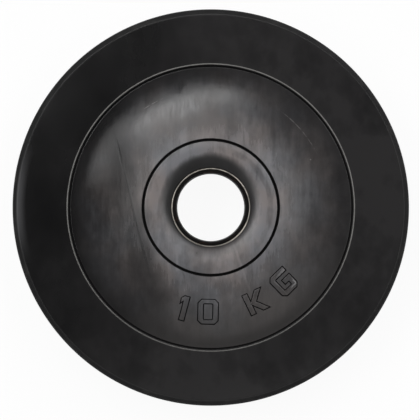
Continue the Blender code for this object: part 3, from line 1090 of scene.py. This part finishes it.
def dustyLitBlack(tree, at):
    dust = plasticRamp(tree, "dust", at["dust"])
    # painted light: the dust is made stronger towards the lit side and fades away from it
    blackLitSide = plasticRamp(tree, "blackLitSide", at["towardsLight"])
    dust = times(tree, dust, blackLitSide, plasticRamp(tree, "dustClouds", at["clouds"]))
    dust = calc(tree, "ADD", dust, plasticRamp(tree, "haze", at["haze"]))
    black = mixColour(tree, dust, plastic["black"], plastic["dustAndLight"])
    # painted light: the step's wall is lighter at the bottom
    litStepWall = plasticRamp(tree, "litStepWallReach", along(tree, at["flat"], plastic["litStepWallSide"]))
    inStep = ramp(tree, at["radius"], shells["creaseRadius"], shells["stepTopRadius"], 1.0, 0.0)
    litStepWall = times(tree, litStepWall, inStep, plastic["litStepWallShare"])
    return mixColour(tree, litStepWall, black, plastic["litStepWall"])


def rimColour(tree, at, onRim, colour):
    # the rim is scuffed all round, and has a painted highlight on the left
    scuffed = times(tree, plasticRamp(tree, "rimMarks", at["rimMarks"]), onRim)
    colour = mixColour(tree, times(tree, onRim, plastic["rimBlackening"]), colour, plastic["black"])
    colour = mixColour(tree, scuffed, colour, plastic["rimScuff"])
    radius = plastic["highlightRadius"]
    fadeStart, fadeEnd = plastic["highlightOutwards"]
    inner = ramp(tree, at["radius"], radius - plastic["highlightInwards"], radius)
    outer = ramp(tree, at["radius"], radius + fadeStart, radius + fadeEnd, 1.0, 0.0)
    alongY = band(tree, at["y"], plastic["highlightMiddleY"], *plastic["highlightBandY"])
    paintedLighting = times(tree, inner, outer, alongY, plasticRamp(tree, "highlightX", at["x"]))
    return mixColour(tree, paintedLighting, colour, plastic["rimLeftHighlight"])


def scuffsOf(tree, at):
    # a broken scratch round the dish, and a speck
    bearing = calc(tree, "DEGREES", calc(tree, "ARCTAN2", at["y"], at["x"]))
    stretches = [softStretch(tree, bearing, *stretch) for stretch in plastic["scratchBearings"]]
    onScratch = band(tree, at["radius"], plastic["scratchRadius"], *plastic["scratchBand"])
    broken = plasticRamp(tree, "scratch", at["mottle"])
    scratch = times(tree, chain(tree, "ADD", *stretches), broken, onScratch)
    speck = plasticRamp(tree, "speck", vectorCalc(tree, "DISTANCE", at["flat"], plastic["speck"]))
    return calc(tree, "MAXIMUM", scratch, speck)


def stepWearAndHighlightOf(tree, at):
    # the step's edge: worn plastic with a painted highlight, brightest towards the top
    onStep = band(tree, at["radius"], shells["stepTopRadius"] + plastic["stepOffset"], *plastic["stepBand"])
    uneven = plasticRamp(tree, "step", at["mottle"])
    return times(tree, onStep, uneven, plasticRamp(tree, "stepHighlightY", at["y"]))


def lipWearAndHighlightOf(tree, at):
    # the lip's wear and painted highlight are weakest at the lower left
    onLip = band(tree, at["radius"], lipRadius + plastic["lipOffset"], *plastic["lipBand"])
    uneven = plasticRamp(tree, "lip", at["smears"])
    dull = plasticRamp(tree, "lipLean", along(tree, at["flat"], plastic["dullLipSide"]))
    return times(tree, onLip, uneven, dull)


def plasticRoughness(tree, at, onDish, onRim, wearAndGlint):
    rough = plasticRamp(tree, "roughness", at["radius"])
    rough = calc(tree, "ADD", rough, plasticRamp(tree, "patchRoughness", at["patches"]))
    steps = [ramp(tree, at[name], *step) for name, step in plastic["roughnessSteps"].items()]
    rounded = ramp(tree, at["radius"], fallRadius - plastic["edgeFade"], fallRadius + plastic["edgeFade"])
    heights = [ringEdge - plate["edgeRounding"] + height for height in plastic["edgeHeights"]]
    onEdge = times(tree, rounded, ramp(tree, at["fromMiddle"], *heights))
    roughening = (
        (chain(tree, "ADD", *steps), onDish),
        (onRim, plastic["rimRoughening"]),
        (onEdge, plastic["edgeRoughening"]),
        (wearAndGlint, plastic["wearRoughening"]),
    )
    for share, amount in roughening:
        rough = calc(tree, "MULTIPLY_ADD", share, amount, rough)
    return rough


def makePlastic(name, specular):
    finish, tree, shader, place = newFinish(name)
    at = placeOnPlate(tree, place)
    for key, settings in plastic["textures"].items():
        at[key] = noise(tree, place, *settings)
    at["wander"] = times(tree, calc(tree, "SUBTRACT", at["patches"], 0.5), plastic["lineWander"])
    onDish = plasticRamp(tree, "dish", at["radius"])
    onRim = plasticRamp(tree, "rim", at["radius"])
    stepWearAndGlint = stepWearAndHighlightOf(tree, at)
    lipWearAndGlint = lipWearAndHighlightOf(tree, at)

    tint = plasticRamp(tree, "tint", at["tint"])
    bloomColour = mixColour(tree, tint, plastic["coolBloom"], plastic["warmBloom"])
    colour = mixColour(tree, bloomAndLightOf(tree, at), dustyLitBlack(tree, at), bloomColour)
    colour = rimColour(tree, at, onRim, colour)
    colour = mixColour(tree, scuffsOf(tree, at), colour, plastic["scuff"])
    colour = mixColour(tree, stepWearAndGlint, colour, plastic["stepWearAndHighlight"])
    colour = mixColour(tree, lipWearAndGlint, colour, plastic["lipWearAndHighlight"])
    wearAndGlint = calc(tree, "MAXIMUM", stepWearAndGlint, lipWearAndGlint)
    dress(tree, shader, colour, plasticRoughness(tree, at, onDish, onRim, wearAndGlint), specular)

    layers = [(at[key], height) for key, height in plastic["bumps"].items()]
    for key, height in plastic["dishBumps"].items():
        layers.append((times(tree, at[key], onDish), height))
    layers.append((lineMark(tree, at, plastic["sunkLine"]), -plastic["lineDepth"]))
    addBump(tree, shader, layers)
    return finish


# Painted shade that fills the groove, the crease and the sunk outlines of the mark, flecked with dust

recessShade = {
    "black": (0.0028, 0.0027, 0.0028),
    "dust": (0.014, 0.013, 0.012),
    "dustTexture": (700, 4, (1, 1, 1), (0, 0, 0), 0.65),
    "dustRamp": (0.55, 0.78, 0.0, 0.6),
    "grainTexture": (2600, 2),
    "grainHeight": 0.00002,
    "roughness": 0.90,
    "specular": 0.10,
}


def makeRecessShade():
    # a near-black painted shade for the hollows, with lighter flecks of dust
    finish, tree, shader, place = newFinish("paintedRecessShade")
    dust = ramp(tree, noise(tree, place, *recessShade["dustTexture"]), *recessShade["dustRamp"])
    colour = mixColour(tree, dust, recessShade["black"], recessShade["dust"])
    dress(tree, shader, colour, recessShade["roughness"], recessShade["specular"])
    addBump(tree, shader, [(noise(tree, place, *recessShade["grainTexture"]), recessShade["grainHeight"])])
    return finish


# Sleeve steel, plug plastic and core mix

steel = {
    "black": (0.0040, 0.0036, 0.0034),
    "rust": (0.030, 0.012, 0.006),
    "rustTexture": (130, 5, (1, 1, 1), (0, 0, 0), 0.7),
    "rustRamp": (0.55, 0.75),
    "scaleTexture": (900, 3),
    "scaleHeight": 0.00003,
    "roughnessRamp": (0.3, 0.7, 0.5, 0.75),
    "specular": 0.06,
}


def makeSteel():
    finish, tree, shader, place = newFinish("blackSteel")
    rust = ramp(tree, noise(tree, place, *steel["rustTexture"]), *steel["rustRamp"])
    scale = noise(tree, place, *steel["scaleTexture"])
    colour = mixColour(tree, rust, steel["black"], steel["rust"])
    dress(tree, shader, colour, ramp(tree, scale, *steel["roughnessRamp"]), steel["specular"])
    addBump(tree, shader, [(scale, steel["scaleHeight"])])
    return finish


plugPlastic = {
    "black": (0.009, 0.009, 0.010),
    "scuffed": (0.030, 0.029, 0.030),
    "scuffTexture": (320, 5, (1, 4, 1)),
    "scuffRamp": (0.48, 0.72),
    "grainTexture": (1800, 2),
    "grainHeight": 0.00002,
    "roughnessRamp": (0, 1, 0.42, 0.6),
}


def makePlugPlastic():
    finish, tree, shader, place = newFinish("plugPlastic")
    scuffs = ramp(tree, noise(tree, place, *plugPlastic["scuffTexture"]), *plugPlastic["scuffRamp"])
    colour = mixColour(tree, scuffs, plugPlastic["black"], plugPlastic["scuffed"])
    dress(tree, shader, colour, ramp(tree, scuffs, *plugPlastic["roughnessRamp"]))
    addBump(tree, shader, [(noise(tree, place, *plugPlastic["grainTexture"]), plugPlastic["grainHeight"])])
    return finish


coreMix = {
    "cement": (0.20, 0.18, 0.16),
    "sand": (0.075, 0.062, 0.055),
    "sandScale": 620,
    "sandRamp": (0.15, 0.55, 1.0, 0.0),
    "sandHeight": 0.0003,
    "blotchTexture": (60, 5),
    "blotchRamp": (0.3, 0.7, 0.4, 1.0),
    "blotchHeight": 0.0004,
    "roughness": 0.92,
}


def makeCoreMix():
    finish, tree, shader, place = newFinish("coreMix")
    inputs = {"Vector": place, "Scale": coreMix["sandScale"]}
    sand = addNode(tree, "ShaderNodeTexVoronoi", inputs).outputs["Distance"]
    blotches = noise(tree, place, *coreMix["blotchTexture"])
    grains = ramp(tree, sand, *coreMix["sandRamp"])
    share = times(tree, grains, ramp(tree, blotches, *coreMix["blotchRamp"]))
    colour = mixColour(tree, share, coreMix["cement"], coreMix["sand"])
    dress(tree, shader, colour, coreMix["roughness"])
    addBump(tree, shader, [(sand, coreMix["sandHeight"]), (blotches, coreMix["blotchHeight"])])
    return finish


def standFor(piece, node):
    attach(piece, "root")
    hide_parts(node)


shellFinishes = (  # for the faces, the painted shade in the hollows, and the side
    makePlastic("shellPlastic", plastic["specular"]),
    makeRecessShade(),
    makePlastic("edgePlastic", plastic["edgeSpecular"]),
)
plugFinish = makePlugPlastic()
standFor(makeFrontShell(), "front_shell")
print("front shell and its mark made")
standFor(makeRearShell(), "rear_shell")
print("rear shell made")
for name, (node, holeRadius, bearing) in plugs["kinds"].items():
    standFor(makePlug(name, holeRadius, bearing, plugFinish), node)
standFor(makeSleeve(makeSteel()), "bore_sleeve")
print("plugs and sleeve made")

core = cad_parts["core_filling"]
core.data.materials.clear()
core.data.materials.append(makeCoreMix())
